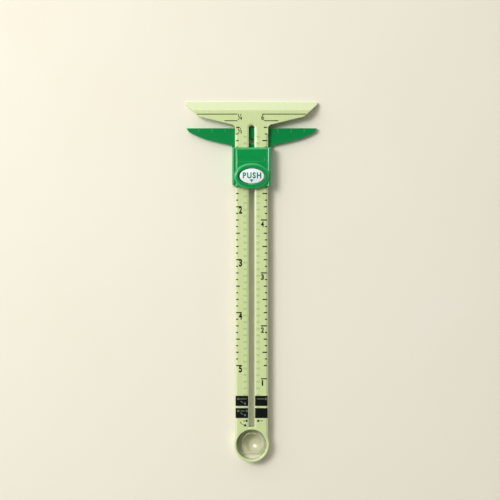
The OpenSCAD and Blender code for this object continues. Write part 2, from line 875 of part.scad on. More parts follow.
// The disc: a plate with a bead that runs in the ring's groove, and a dished boss
module anchor_disc() {
    rim_r = ring_bore_r - disc_gap;
    bead_r = rim_r + ring_groove_d - disc_gap;
    bead_z = ring_groove_z + disc_gap;
    bead_w = ring_groove_w - 2 * disc_gap;
    boss_top = disc_t + disc_boss_h;
    color([0.85, 0.92, 0.8, 0.5])
        translate([0, at(pivot_reach), 0])
            difference() {
                rotate_extrude($fn = 128)
                    polygon([
                        [0, 0],
                        [rim_r - disc_edge, 0],
                        [rim_r, disc_edge],
                        [rim_r, bead_z],
                        [bead_r, bead_z + ring_groove_d / 2],
                        [bead_r, bead_z + bead_w - ring_groove_d / 2],
                        [rim_r, bead_z + bead_w],
                        [rim_r, disc_t - disc_edge],
                        [rim_r - disc_edge, disc_t],
                        [disc_boss_r, disc_t],
                        [disc_boss_r, boss_top - boss_edge],
                        [disc_boss_r - boss_edge, boss_top],
                        [disc_dish_r + dish_slope, boss_top],
                        [disc_dish_r, boss_top - disc_dish_h],
                        [disc_dimple_r, boss_top - disc_dish_h],
                        [0, boss_top - disc_dish_h - disc_dimple_r]
                    ]);
                for (angle = [30, 150, 270])
                    rotate([0, 0, angle])
                        translate([disc_flat_r, -ring_r, -past])
                            cube([ring_r, 2 * ring_r, disc_t + 2 * past]);
            }
}

gauge_body();
slider_base();
slider_cover();
guide_plate();
push_button();
lock_pawl();
return_spring();
anchor_disc();
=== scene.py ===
import math
import bpy
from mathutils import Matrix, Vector


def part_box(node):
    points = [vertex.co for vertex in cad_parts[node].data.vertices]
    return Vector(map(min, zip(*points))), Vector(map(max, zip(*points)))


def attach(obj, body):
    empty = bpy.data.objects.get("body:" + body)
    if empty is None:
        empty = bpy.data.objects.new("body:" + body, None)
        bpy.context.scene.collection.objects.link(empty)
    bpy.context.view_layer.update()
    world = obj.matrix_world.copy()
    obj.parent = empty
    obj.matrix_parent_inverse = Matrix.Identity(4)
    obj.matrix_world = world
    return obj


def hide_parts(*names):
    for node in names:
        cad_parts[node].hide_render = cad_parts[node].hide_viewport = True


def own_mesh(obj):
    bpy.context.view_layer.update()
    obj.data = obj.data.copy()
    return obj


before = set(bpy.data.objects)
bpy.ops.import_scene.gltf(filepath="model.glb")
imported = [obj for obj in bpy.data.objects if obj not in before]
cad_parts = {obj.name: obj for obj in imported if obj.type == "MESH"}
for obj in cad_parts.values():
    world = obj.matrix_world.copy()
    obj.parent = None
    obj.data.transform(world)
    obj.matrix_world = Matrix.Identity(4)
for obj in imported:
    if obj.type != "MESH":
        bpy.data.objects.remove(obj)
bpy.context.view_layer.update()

scene = bpy.context.scene
mm = 0.001
inch = 25.4 * mm
near = 0.01 * mm  # places closer together than this count as one
level = 0.9999    # the upward share of a level face's normal, at least

# Places taken from the frame, in metres
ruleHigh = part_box("gauge_body")[1]
coverLow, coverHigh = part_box("slider_cover")
buttonLow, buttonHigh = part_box("push_button")
discLow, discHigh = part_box("anchor_disc")
pawlLow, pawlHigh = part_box("lock_pawl")
plateLow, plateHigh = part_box("guide_plate")
springLow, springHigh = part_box("return_spring")
springHeight = springHigh.z - springLow.z
headEdge = ruleHigh.y                      # the T head's measuring edge
ruleTop = ruleHigh.z                       # top face of the rule
buttonY = (pawlLow.y + pawlHigh.y) / 2     # the lock stands right under the button
ringY = (discLow.y + discHigh.y) / 2
print("frame loaded with", len(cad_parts), "nodes")


def at(distance):  # distance below the measuring edge
    return headEdge - distance


# Modelling helpers: everything is done with one piece selected

def only(piece):
    if bpy.context.mode != "OBJECT":
        bpy.ops.object.mode_set(mode="OBJECT")
    bpy.ops.object.select_all(action="DESELECT")
    piece.select_set(True)
    bpy.context.view_layer.objects.active = piece


def placed(name):  # the shape just added, with its place moved into its mesh
    piece = bpy.context.object
    piece.name = name
    bpy.ops.object.transform_apply(location=True, rotation=True, scale=True)
    return piece


def block(name, low, high):
    bpy.ops.object.select_all(action="DESELECT")
    middle = [(a + b) / 2 for a, b in zip(low, high)]
    size = [b - a for a, b in zip(low, high)]
    bpy.ops.mesh.primitive_cube_add(size=1, location=middle, scale=size)
    return placed(name)


def ovalRod(name, centre, halfX, halfY, bottom, top, sides=96):
    bpy.ops.object.select_all(action="DESELECT")
    bpy.ops.mesh.primitive_cylinder_add(vertices=sides, radius=1, depth=1,
                                        location=(*centre, (bottom + top) / 2),
                                        scale=(halfX, halfY, top - bottom))
    return placed(name)


def pick(piece, kind, wanted):
    only(piece)
    bpy.ops.object.mode_set(mode="EDIT")
    bpy.ops.mesh.select_mode(type=kind)
    bpy.ops.mesh.select_all(action="DESELECT")
    bpy.ops.object.mode_set(mode="OBJECT")
    mesh = piece.data
    if kind == "FACE":
        for face in mesh.polygons:
            face.select = wanted(face.center, face.normal)
    elif kind == "EDGE":
        for edge in mesh.edges:
            start, end = [mesh.vertices[i].co for i in edge.vertices]
            edge.select = wanted((start + end) / 2, end - start)
    else:
        for vertex in mesh.vertices:
            vertex.select = wanted(vertex.co)
    bpy.ops.object.mode_set(mode="EDIT")


def editDone(piece):
    bpy.ops.object.mode_set(mode="OBJECT")
    return piece


def roundEdges(piece, radius, segments, wanted):
    pick(piece, "EDGE", wanted)
    bpy.ops.mesh.bevel(offset=radius, segments=segments, affect="EDGES")
    editDone(piece)


def cutThrough(piece, place, way, **settings):
    only(piece)
    bpy.ops.object.mode_set(mode="EDIT")
    bpy.ops.mesh.select_all(action="SELECT")
    bpy.ops.mesh.bisect(plane_co=place, plane_no=way, **settings)
    editDone(piece)


def modify(piece, kind, **settings):
    only(piece)
    modifier = piece.modifiers.new(kind.lower(), kind)
    for key, value in settings.items():
        setattr(modifier, key, value)
    bpy.ops.object.modifier_apply(modifier=modifier.name)


def combine(piece, tool, operation):
    modify(piece, "BOOLEAN", object=tool, operation=operation, solver="EXACT")
    bpy.data.objects.remove(tool)


def smoothed(piece, sharpest=32):
    only(piece)
    bpy.ops.object.shade_smooth_by_angle(angle=math.radians(sharpest))
    modify(piece, "WEIGHTED_NORMAL", keep_sharp=True)
    return piece


def dress(piece, material, body, slot, *replaced):
    piece.data.materials.clear()
    piece.data.materials.append(material)
    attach(piece, body)
    if replaced:
        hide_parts(*replaced)


# Colour and shader helpers

def linear(hexColour):
    channels = [int(hexColour[i:i + 2], 16) / 255 for i in (1, 3, 5)]
    bright = [c / 12.92 if c <= 0.04045 else ((c + 0.055) / 1.055) ** 2.4 for c in channels]
    return (*bright, 1.0)


def addNode(material, kind, settings=None, links=None):
    node = material.node_tree.nodes.new(kind)
    for key, value in (settings or {}).items():
        if isinstance(key, int) or key in node.inputs:
            node.inputs[key].default_value = value
        else:
            setattr(node, key, value)
    for key, source in (links or {}).items():
        material.node_tree.links.new(source, node.inputs[key])
    return node


def newMaterial(name, sockets):
    material = bpy.data.materials.new(name)
    material.use_nodes = True
    shader = material.node_tree.nodes["Principled BSDF"]
    for key, value in sockets.items():
        shader.inputs[key].default_value = value
    return material, shader


def wired(material, shader, sources):
    for key, source in sources.items():
        material.node_tree.links.new(source, shader.inputs[key])
    return material


# Ink of the printed marks, which the pieces under it leave room for

ink = {
    "thickness": 0.05 * mm,      # half of it stands above the plastic
    "paleThickness": 0.09 * mm,  # pale marks lie over the dark blocks
    "startHeight": 20 * mm,      # prints start above everything and come down on their carrier
    "edgeX": 7.43 * mm,          # and stop inside the bar's sides
    "creases": (2.3 * mm, 6.9375 * mm),  # where the top face of the bar meets its bevels
}


# Camera: straight above, as the photograph was taken

camera = {
    "height": 450 * mm,        # lens above the top of the rule
    "fieldWidth": 239.9 * mm,  # what the picture's width takes in at that height
    "x": -0.77 * mm,
    "y": 15.2 * mm,
    "sensor": 36,              # its width in mm
}
bpy.ops.object.camera_add(location=(camera["x"], camera["y"], ruleTop + camera["height"]),
                          rotation=(0, 0, 0))
lens = bpy.context.object
lens.name = "topCamera"
lens.data.sensor_width = camera["sensor"]
lens.data.lens = camera["sensor"] * camera["height"] / camera["fieldWidth"]
scene.camera = lens
scene.view_settings.view_transform = "Standard"


# Housing over the bar

cover = {
    "bottom": 2.4 * mm,
    "deckTop": 6.85 * mm,
    "frontRound": 1.6 * mm,
    "endRound": 0.6 * mm,
    "cornerRound": 1.0 * mm,
    "endBulge": 1.8 * mm,
    "railRound": 0.9 * mm,
    "railWidth": 1.0 * mm,
    "railDrop": 0.25 * mm,
    "grooveWidth": 1.4 * mm,
    "grooveDepth": 0.5 * mm,
    "grooveRound": 0.2 * mm,
    "surroundX": 8.475 * mm,
    "surroundY": 6.385 * mm,
    "surroundFoot": 4.4 * mm,
    "surroundSlope": 1.45 * mm,
    "openingX": 6.425 * mm,
    "openingY": 3.885 * mm,
    "rimRound": 0.18 * mm,
    "rimReach": 1.02,          # edges up to here round the opening's outline belong to its rim
    "cavityX": 7.075 * mm,
    "cavityY": 4.535 * mm,
    "cavityTop": 7.0 * mm,
    "channelHalf": 8.0875 * mm,
    "seatGap": 0.05 * mm,      # room round the guide plate and its pegs
    "pegRadius": 0.6 * mm,
    "pegHeight": 0.6 * mm,
    "pegIn": 1.2 * mm,         # from the plate's sides and front to its pegs
    "pegEndIn": 1.8 * mm,
    "panelX": 6.2 * mm,
    "panelY": 1.2 * mm,
    "panelRound": 0.8 * mm,
    "panelDepth": 0.15 * mm,
    "panelEdge": 0.135 * mm,
    "panelGap": 0.6 * mm,
    "tongueX": 8.7175 * mm,
    "tongueHalf": 0.25 * mm,
    "tongueFrontGap": 1.8 * mm,
    "tongueEndGap": 3.6 * mm,
    "tongueDepth": 0.7 * mm,
    "past": 1 * mm,            # tools reach this far past what they cut
}


def bulgedBlock(name, half, front, end, bottom, top):
    tool = block(name, (-half, end, bottom), (half, front, top))
    bulge = cover["endBulge"]
    reach = (coverHigh.x ** 2 + bulge ** 2) / (2 * bulge)  # radius of the bulge
    arc = ovalRod("bulge", (0, end + reach), reach, reach, bottom - cover["past"],
                  top + cover["past"], sides=720)
    combine(tool, arc, "INTERSECT")
    return tool


def makeCover():
    half, front, end = coverHigh.x, coverHigh.y, coverLow.y
    bottom, deck, past = cover["bottom"], cover["deckTop"], cover["past"]
    # the section: deck, groove and rail on each side, drawn out along the rule
    shell = block("housing_shell", (-half, end - past, bottom), (half, front + past, deck))
    grooveX = half - cover["railWidth"] - cover["grooveWidth"] / 2
    grooveHalf = cover["grooveWidth"] / 2
    for x in (grooveX - grooveHalf, grooveX, grooveX + grooveHalf):
        for side in (-1, 1):
            cutThrough(shell, (side * x, 0, 0), (1, 0, 0))
    pick(shell, "VERT", lambda p: p.z > deck - near and abs(abs(p.x) - grooveX) < near)
    bpy.ops.transform.translate(value=(0, 0, -cover["grooveDepth"]))
    pick(shell, "VERT", lambda p: p.z > deck - near and abs(p.x) > grooveX + near)
    bpy.ops.transform.translate(value=(0, 0, -cover["railDrop"]))
    roundEdges(shell, cover["grooveRound"], 4,
               lambda p, way: p.z > bottom + past and abs(way.y) > past
               and abs(abs(p.x) - grooveX) < grooveHalf + near)
    roundEdges(shell, cover["railRound"], 10,
               lambda p, way: p.z > bottom + past and abs(way.y) > past and abs(p.x) > half - near)
    # the side view: rounded front, softer end
    profile = block("profile", (-half - past, end, bottom - past), (half + past, front, deck))
    roundEdges(profile, cover["frontRound"], 14,
               lambda p, way: p.z > deck - near and p.y > front - near)
    roundEdges(profile, cover["endRound"], 6, lambda p, way: p.z > deck - near and p.y < end + near)
    combine(shell, profile, "INTERSECT")
    # the plan: bulging end with rounded corners
    plan = bulgedBlock("plan", half, front, end, bottom - past, deck + past)
    roundEdges(plan, cover["cornerRound"], 8,
               lambda p, way: abs(p.x) > half - near and p.y < buttonY and abs(way.z) > past)
    combine(shell, plan, "INTERSECT")
    # the bare panel sunk in the deck
    panelEnd = buttonY + cover["surroundY"] + cover["panelGap"]
    panelFloor = deck - cover["panelDepth"]
    panel = block("panel", (-cover["panelX"], panelEnd, panelFloor),
                  (cover["panelX"], panelEnd + 2 * cover["panelY"], deck + past))
    roundEdges(panel, cover["panelRound"], 8, lambda p, way: abs(way.z) > near)
    roundEdges(panel, cover["panelEdge"], 3, lambda p, way: p.z < panelFloor + near)
    combine(shell, panel, "DIFFERENCE")
    # the raised oval with its rounded slope
    centre = (0, buttonY)
    top = coverHigh.z
    surround = ovalRod("surround", centre, cover["surroundX"], cover["surroundY"],
                       cover["surroundFoot"], top, sides=128)
    roundEdges(surround, cover["surroundSlope"], 14, lambda p, way: p.z > top - near)
    combine(surround, bulgedBlock("flush", half, front, end, bottom, top + past), "INTERSECT")
    combine(shell, surround, "UNION")
    # hollows inside, and the opening for the button
    far = 2 * past
    combine(shell, block("channel", (-cover["channelHalf"], end - far, bottom - far),
                         (cover["channelHalf"], front + far, plateLow.z)), "DIFFERENCE")
    gap = cover["seatGap"]
    combine(shell, bulgedBlock("recess", plateHigh.x + gap, plateHigh.y + gap, plateLow.y - gap,
                               bottom, plateHigh.z - cover["pegHeight"]), "DIFFERENCE")
    combine(shell, ovalRod("cavity", centre, cover["cavityX"], cover["cavityY"], bottom,
                           cover["cavityTop"]), "DIFFERENCE")
    pegX = plateHigh.x - cover["pegIn"]
    pegRoom = cover["pegRadius"] + gap
    for x in (-pegX, pegX):
        for y in (plateHigh.y - cover["pegIn"], plateLow.y + cover["pegEndIn"]):
            combine(shell, ovalRod("peg", (x, y), pegRoom, pegRoom, bottom, plateHigh.z + gap,
                                   sides=24), "DIFFERENCE")
    combine(shell, ovalRod("opening", centre, cover["openingX"], cover["openingY"], bottom,
                           top + past, sides=128), "DIFFERENCE")

    def onRim(p, way):
        outward = (p.x / cover["openingX"]) ** 2 + ((p.y - buttonY) / cover["openingY"]) ** 2
        return p.z > top - near and outward < cover["rimReach"]

    roundEdges(shell, cover["rimRound"], 4, onRim)
    # the ribs that join it to the base
    for side in (-1, 1):
        x = side * cover["tongueX"]
        combine(shell, block("tongue", (x - cover["tongueHalf"], end + cover["tongueEndGap"],
                                        bottom - cover["tongueDepth"]),
                             (x + cover["tongueHalf"], front - cover["tongueFrontGap"],
                              bottom + past)), "UNION")
    return smoothed(shell)


# White button

button = {
    "capX": 5.925 * mm,
    "capY": 3.625 * mm,
    "shiftX": 0.2 * mm,    # sits a little to the right in its opening
    "edgeRound": 0.5 * mm,
    "crown": 0.3 * mm,
    "rings": 8,
    "bottom": 6.45 * mm,
    "lugHalf": 1.5 * mm,
    "lugTop": 6.95 * mm,
    "stemX": 1.2 * mm,
    "stemY": 1.8 * mm,
    "tenonX": 0.8 * mm,
    "tenonY": 1.4 * mm,
    "stemBottom": 2.45 * mm,
    "stemTop": 7.75 * mm,  # inside the cap's wall
    "wall": 0.8 * mm,
    "insideTop": 7.55 * mm,
}


def makeButton():
    centre = (button["shiftX"], buttonY)
    rim = buttonHigh.z - ink["thickness"] - button["crown"]
    low = button["bottom"]
    cap = ovalRod("oval_button", centre, button["capX"], button["capY"], low, rim, sides=128)
    roundEdges(cap, button["edgeRound"], 8, lambda p, way: p.z > rim - near)
    pick(cap, "FACE", lambda p, normal: p.z > rim - near and normal.z > level)
    share = 1.0
    for ring in range(1, button["rings"] + 1):  # each ring stands a little higher: a crowned top
        wanted = math.cos(math.pi / 2 * ring / (button["rings"] + 1))
        bpy.ops.mesh.inset(thickness=0)
        bpy.ops.transform.resize(value=(wanted / share, wanted / share, 1),
                                 center_override=(*centre, rim))
        bpy.ops.transform.translate(value=(0, 0, button["crown"] * (share ** 2 - wanted ** 2)))
        share = wanted
    editDone(cap)
    # the two lugs that hold it down, the hollow under it and the stem with its tenon
    lugs = block("lugs", (-button["lugHalf"], buttonLow.y, low),
                 (button["lugHalf"], 2 * buttonY - buttonLow.y, button["lugTop"]))
    combine(cap, lugs, "UNION")
    hollow = ovalRod("hollow", centre, button["capX"] - button["wall"],
                     button["capY"] - button["wall"], low - mm, button["insideTop"])
    combine(cap, hollow, "DIFFERENCE")
    for halfX, halfY, foot in ((button["stemX"], button["stemY"], button["stemBottom"]),
                               (button["tenonX"], button["tenonY"], buttonLow.z)):
        stem = block("stem", (-halfX, buttonY - halfY, foot),
                     (halfX, buttonY + halfY, button["stemTop"]))
        combine(cap, stem, "UNION")
    return smoothed(cap)


# Clear disc in the ring

disc = {
    "edge": 7.22 * mm,
    "bead": 7.49 * mm,
    "beadLow": 0.98 * mm,
    "beadHigh": 1.62 * mm,
    "plateTop": 2.2 * mm,
    "flat": 5.6 * mm,          # from the middle to each flat
    "flatTurns": (30, 150, 270),
    "edgeRound": 0.45 * mm,
    "boss": 4.6 * mm,
    "bossTop": 4.4 * mm,
    "bossFoot": 2.0 * mm,      # its sides slope in from just inside the plate
    "bossRound": 0.35 * mm,
    "dish": 3.95 * mm,
    "bowl": 2.0 * mm,          # the dish falls evenly from its rim to here, and is a round bowl inside
    "slope": 0.46,
    "rings": 6,
    "dimple": 0.6 * mm,
    "dimpleWall": 0.36 * mm,
    "dimpleDepth": 0.42 * mm,
}


def makeDisc():
    centre = ((discLow.x + discHigh.x) / 2, ringY)
    plateTop, top = disc["plateTop"], discHigh.z
    plate = ovalRod("clear_disc", centre, disc["edge"], disc["edge"], 0, plateTop, sides=160)
    middle = (disc["beadLow"] + disc["beadHigh"]) / 2
    for z in (disc["beadLow"], middle, disc["beadHigh"]):
        cutThrough(plate, (0, 0, z), (0, 0, 1))
    pick(plate, "VERT", lambda p: abs(p.z - middle) < near)
    grow = disc["bead"] / disc["edge"]
    bpy.ops.transform.resize(value=(grow, grow, 1), center_override=(*centre, middle))
    for turn in disc["flatTurns"]:
        away = Vector((math.cos(math.radians(turn)), math.sin(math.radians(turn)), 0))
        cutThrough(plate, Vector((*centre, 0)) + away * disc["flat"], away, clear_outer=True,
                   use_fill=True)
    roundEdges(plate, disc["edgeRound"], 4,
               lambda p, way: (p.z < near or p.z > plateTop - near) and abs(way.z) < near)
    boss = ovalRod("boss", centre, disc["boss"], disc["boss"], disc["bossFoot"], top, sides=128)
    pick(boss, "FACE", lambda p, normal: normal.z > level)
    taper = disc["bossTop"] / disc["boss"]
    bpy.ops.transform.resize(value=(taper, taper, 1), center_override=(*centre, top))
    roundEdges(boss, disc["bossRound"], 6, lambda p, way: p.z > top - near)
    pick(boss, "FACE", lambda p, normal: p.z > top - near and normal.z > level)
    bpy.ops.mesh.inset(thickness=disc["bossTop"] - disc["bossRound"] - disc["dish"])
    fall = disc["dish"] - disc["bowl"]
    bpy.ops.mesh.inset(thickness=fall, depth=-fall * disc["slope"])
    reach, depth = disc["bowl"], 0.0
    for ring in range(1, disc["rings"] + 1):  # a shallow bowl, lower ring by ring
        wanted = disc["bowl"] + (disc["dimple"] - disc["bowl"]) * ring / disc["rings"]
        lower = disc["slope"] * (disc["bowl"] ** 2 - wanted ** 2) / (2 * disc["bowl"])
        bpy.ops.mesh.inset(thickness=reach - wanted, depth=depth - lower)
        reach, depth = wanted, lower
    bpy.ops.mesh.inset(thickness=disc["dimpleWall"], depth=-disc["dimpleDepth"])
    combine(plate, editDone(boss), "UNION")
    return smoothed(plate)


# Coil spring under the button

spring = {
    "radius": 2.463 * mm,      # to the middle of the wire
    "wire": 0.15 * mm,         # half its thickness
    "sides": 12,
    "turns": 2.5,
    "steps": 120,
    "stroke": 0.7 * mm,        # how far the button comes down on it
}


def makeSpring():
    bpy.ops.object.select_all(action="DESELECT")
    bpy.ops.mesh.primitive_circle_add(vertices=spring["sides"], radius=spring["wire"],
                                      rotation=(math.pi / 2, 0, 0),
                                      location=(spring["radius"], 0, springLow.z + spring["wire"]))
    coil = placed("coil_spring")
    modify(coil, "SCREW", angle=2 * math.pi * spring["turns"],
           screw_offset=springHeight - 2 * spring["wire"],
           steps=spring["steps"], render_steps=spring["steps"])
    only(coil)
    bpy.ops.object.mode_set(mode="EDIT")
    bpy.ops.mesh.select_all(action="SELECT")
    bpy.ops.mesh.fill_holes(sides=0)  # the wire's cut ends
    bpy.ops.mesh.normals_make_consistent(inside=False)
    bpy.ops.transform.translate(value=(0, buttonY, 0))
    return smoothed(editDone(coil))


coverPiece = makeCover()
print("housing modelled")
buttonPiece = makeButton()
print("button modelled")
discPiece = makeDisc()
print("disc modelled")
springPiece = makeSpring()
print("spring modelled")


# Printed marks: flat shapes laid on the plastic from above, then given the thickness of the ink

def flatShape(name, x0, x1, y0, y1):
    bpy.ops.object.select_all(action="DESELECT")
    bpy.ops.mesh.primitive_plane_add(size=1, location=((x0 + x1) / 2, (y0 + y1) / 2, 0))
    bpy.context.object.scale = (x1 - x0, y1 - y0, 1)
    return placed(name)


def repeated(piece, count, pitch):  # copies of a mark, one after the other towards the ring
    modify(piece, "ARRAY", count=count, use_relative_offset=False, use_constant_offset=True,
           constant_offset_displace=(0, -pitch, 0))
    return piece


lettering = {             # lengths are shares of the letters' size
    "curveSteps": 8,
    "merge": 0.004,       # corners closer than this become one
    "sliver": 0.001,
}


def word(name, text, x0, x1, y0, y1, weight, spacing=1.0):  # plain letters that fill a rectangle
    bpy.ops.object.select_all(action="DESELECT")
    bpy.ops.object.text_add()
    piece = bpy.context.object
    piece.data.body = text
    piece.data.size = 1
    piece.data.resolution_u = lettering["curveSteps"]
    piece.data.space_character = spacing
    bpy.ops.object.convert(target="MESH")
    piece = bpy.context.object
    bpy.ops.object.mode_set(mode="EDIT")
    bpy.ops.mesh.select_all(action="SELECT")
    bpy.ops.mesh.remove_doubles(threshold=lettering["merge"])
    bpy.ops.mesh.dissolve_degenerate(threshold=lettering["sliver"])
    # bolder strokes: the outline is drawn up into walls, which move outwards and are closed on top
    bpy.ops.mesh.select_mode(type="EDGE")
    bpy.ops.mesh.select_all(action="SELECT")
    bpy.ops.mesh.region_to_loop()
    bpy.ops.mesh.extrude_edges_move(TRANSFORM_OT_translate={"value": (0, 0, 1)})
    pick(piece, "FACE", lambda p, normal: abs(normal.z) > 0.5)
    bpy.ops.mesh.delete(type="FACE")
    bpy.ops.mesh.select_all(action="SELECT")
    bpy.ops.transform.shrink_fatten(value=-weight, use_even_offset=True)
    pick(piece, "EDGE", lambda p, way: p.z > 0.9)
    bpy.ops.mesh.fill()
    pick(piece, "FACE", lambda p, normal: abs(normal.z) < 0.5)
    bpy.ops.mesh.delete(type="FACE")
    bpy.ops.mesh.select_all(action="SELECT")
    bpy.ops.mesh.flip_normals()
    bpy.ops.transform.translate(value=(0, 0, -1))
    editDone(piece)
    low = [min(v.co[k] for v in piece.data.vertices) for k in (0, 1)]
    high = [max(v.co[k] for v in piece.data.vertices) for k in (0, 1)]
    stretch = [(x1 - x0) / (high[0] - low[0]), (y1 - y0) / (high[1] - low[1])]
    piece.scale = (stretch[0], stretch[1], 1)
    piece.location = (x0 - low[0] * stretch[0], y0 - low[1] * stretch[1], 0)
    return placed(name)


def flatDot(x, y, radius):
    bpy.ops.object.select_all(action="DESELECT")
    bpy.ops.mesh.primitive_circle_add(vertices=32, radius=radius, fill_type="NGON",
                                      location=(x, y, 0))
    return placed("dot")


def flatRing(x, y, radius, line):
    piece = flatDot(x, y, radius)
    pick(piece, "FACE", lambda p, normal: True)
    bpy.ops.mesh.inset(thickness=line)
    bpy.ops.mesh.delete(type="FACE")
    return editDone(piece)


def flatLine(name, x0, y0, x1, y1, line):
    bpy.ops.object.select_all(action="DESELECT")
    bpy.ops.mesh.primitive_plane_add(size=1, location=((x0 + x1) / 2, (y0 + y1) / 2, 0),
                                     rotation=(0, 0, math.atan2(y1 - y0, x1 - x0)))
    bpy.context.object.scale = (math.hypot(x1 - x0, y1 - y0), line, 1)
    return placed(name)


def laidOn(name, pieces, carrier, thickness, creasesX=(), creasesY=()):
    bpy.ops.object.select_all(action="DESELECT")
    for piece in pieces:
        piece.select_set(True)
    group = pieces[0]
    bpy.context.view_layer.objects.active = group
    if len(pieces) > 1:
        bpy.ops.object.join()
    group.location.z = ink["startHeight"]
    placed(name)
    for x in creasesX:
        cutThrough(group, (x, 0, 0), (1, 0, 0))
    for y in creasesY:
        cutThrough(group, (0, y, 0), (0, 1, 0))
    modify(group, "SHRINKWRAP", target=carrier, wrap_method="PROJECT", use_project_z=True,
           use_negative_direction=True, use_positive_direction=False)
    modify(group, "SOLIDIFY", thickness=thickness, offset=0)
    return group


# Both scales: first mark from the measuring edge, how many, spacing, length of the mark, in mm

scales = {
    "line": 0.54 * mm,
    "left": ((25.4, 5, 25.4, 2.65), (12.7, 5, 25.4, 1.7), (19.05, 9, 12.7, 1.2),
             (15.875, 18, 6.35, 0.95)),
    "right": ((31.75, 5, 25.4, 2.95), (19.05, 5, 25.4, 2.2), (12.7, 10, 12.7, 1.6),
              (15.875, 18, 6.35, 1.05)),
    "leftDigits": (-6.15, -4.55, 3.6),    # from x, to x, height
    "rightDigits": (4.5, 5.9, 2.7),
    "rightZero": 158.75,                  # the right scale counts from there towards the head
    "leftRise": 0.5,                      # digits start this many lines above their mark
    "rightDrop": 1.2,                     # or below it
    "thinDigit": 0.25,                    # the one is narrower by this share on each side
    "weight": 0.04,
}


def makeScale(side):
    left = side == "left"
    out = ink["edgeX"]
    half = scales["line"] / 2
    marks = []
    for first, count, pitch, length in scales[side]:
        x0, x1 = (-out, -out + length * mm) if left else (out - length * mm, out)
        y = at(first * mm)
        marks.append(repeated(flatShape("mark", x0, x1, y - half, y + half), count, pitch * mm))
    return laidOn(side + "_scale", marks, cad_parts["gauge_body"], ink["thickness"],
                  creasesX=[-ink["creases"][1], ink["creases"][1]])


def makeDigits(side):
    x0, x1, height = [value * mm for value in scales[side + "Digits"]]
    line = scales["line"]
    digits = []
    for number in range(1, 6):
        if side == "left":
            top = at(number * inch) + line * scales["leftRise"]
        else:
            top = at(scales["rightZero"] * mm - number * inch) - line * scales["rightDrop"]
        narrow = scales["thinDigit"] * (x1 - x0) if number == 1 else 0
        digits.append(word("digit", str(number), x0 + narrow, x1 - narrow, top - height, top,
                           scales["weight"]))
    return laidOn(side + "_digits", digits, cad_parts["gauge_body"], ink["thickness"])


# The marks on the head: two long lines, two shorter ones and plain numbers, in mm

headMarks = {
    "line": 0.38,
    "lines": (("longLeft", -26.1, -6.8, 6.35),  # from x, to x, distance from the measuring edge
              ("longRight", 5.0, 26.1, 6.35),
              ("shortLeft", -13.0, -6.8, 9.525),
              ("shortRight", 6.0, 12.8, 9.525)),
    "words": (("¼", -6.6, -4.6, 6.2, 9.2), ("½", -6.6, -4.6, 12.9, 15.6),
              ("6", 4.7, 5.9, 6.6, 9.2)),       # from x, to x, top and bottom from that edge
    "weight": 0.015,
}


def makeHeadMarks():
    half = headMarks["line"] * mm / 2
    shapes = []
    for name, x0, x1, distance in headMarks["lines"]:
        y = at(distance * mm)
        shapes.append(flatShape(name, x0 * mm, x1 * mm, y - half, y + half))
    for text, x0, x1, top, bottom in headMarks["words"]:
        shapes.append(word("number", text, x0 * mm, x1 * mm, at(bottom * mm), at(top * mm),
                           headMarks["weight"]))
    return laidOn("head_marks", shapes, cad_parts["gauge_body"], ink["thickness"])


# Dark blocks near the ring with plain pale signs on them, in mm: x from the middle, and the
# distance from the measuring edge

blocks = {
    "insideX": 1.65, "outsideX": 7.7,
    "rows": ((141.5, 146.4), (147.4, 152.2)),
    "line": 0.15,
    "rings": ((-6.4, 143.0, 0.5), (-3.2, 145.2, 0.45), (-6.4, 148.8, 0.5), (-2.3, 148.8, 0.5),
              (-3.2, 150.8, 0.45), (6.9, 143.0, 0.5)),
    "lines": ((-5.6, 143.0, -2.3, 143.0), (-5.3, 144.0, -4.3, 144.8), (-5.2, 148.8, -3.4, 148.8),
              (-5.3, 149.6, -4.3, 150.4), (2.6, 143.0, 6.0, 143.0)),
    "below": ((-4.0, 153.5, -3.2, 153.5), (4.2, 153.5, 5.4, 153.5), (-5.5, 154.0, -4.7, 155.1),
              (-4.4, 155.2, -3.7, 155.6)),
    "belowLine": 0.3,
    "dots": ((-2.4, 153.5, 0.5), (3.2, 153.5, 0.5), (-3.1, 155.7, 0.55)),
}


def makeBlocks():
    shapes = []
    for top, bottom in blocks["rows"]:
        for side in (-1, 1):
            x0, x1 = sorted((side * blocks["insideX"] * mm, side * blocks["outsideX"] * mm))
            shapes.append(flatShape("block", x0, x1, at(bottom * mm), at(top * mm)))
    for x0, start, x1, end in blocks["below"]:
        shapes.append(flatLine("bar", x0 * mm, at(start * mm), x1 * mm, at(end * mm),
                               blocks["belowLine"] * mm))
    for x, distance, radius in blocks["dots"]:
        shapes.append(flatDot(x * mm, at(distance * mm), radius * mm))
    creases = [side * crease for side in (-1, 1) for crease in ink["creases"]]
    return laidOn("info_blocks", shapes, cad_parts["gauge_body"], ink["thickness"],
                  creasesX=creases)


def makePaleSigns():
    line = blocks["line"] * mm
    shapes = []
    for x, distance, radius in blocks["rings"]:
        shapes.append(flatRing(x * mm, at(distance * mm), radius * mm, line))
    for x0, start, x1, end in blocks["lines"]:
        shapes.append(flatLine("stroke", x0 * mm, at(start * mm), x1 * mm, at(end * mm), line))
    return laidOn("pale_signs", shapes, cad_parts["gauge_body"], ink["paleThickness"],
                  creasesX=[-ink["creases"][0], ink["creases"][0]])


# What the button says, in plain letters with a pointer under them

sign = {
    "word": (-4.2 * mm, 4.6 * mm, -1.15 * mm, 1.8 * mm),   # from x, to x, from y, to y, about the lock
    "pointer": (-0.95 * mm, 0.95 * mm, -2.95 * mm, -1.6 * mm),
    "weight": 0.04,
    "spacing": 1.25,
    "facet": 0.6 * mm,      # the letters are cut this fine, so that they follow the crown
    "cutsX": range(-7, 8),  # cuts across the letters, counted in facets from the lock
    "cutsY": range(-4, 3),
}


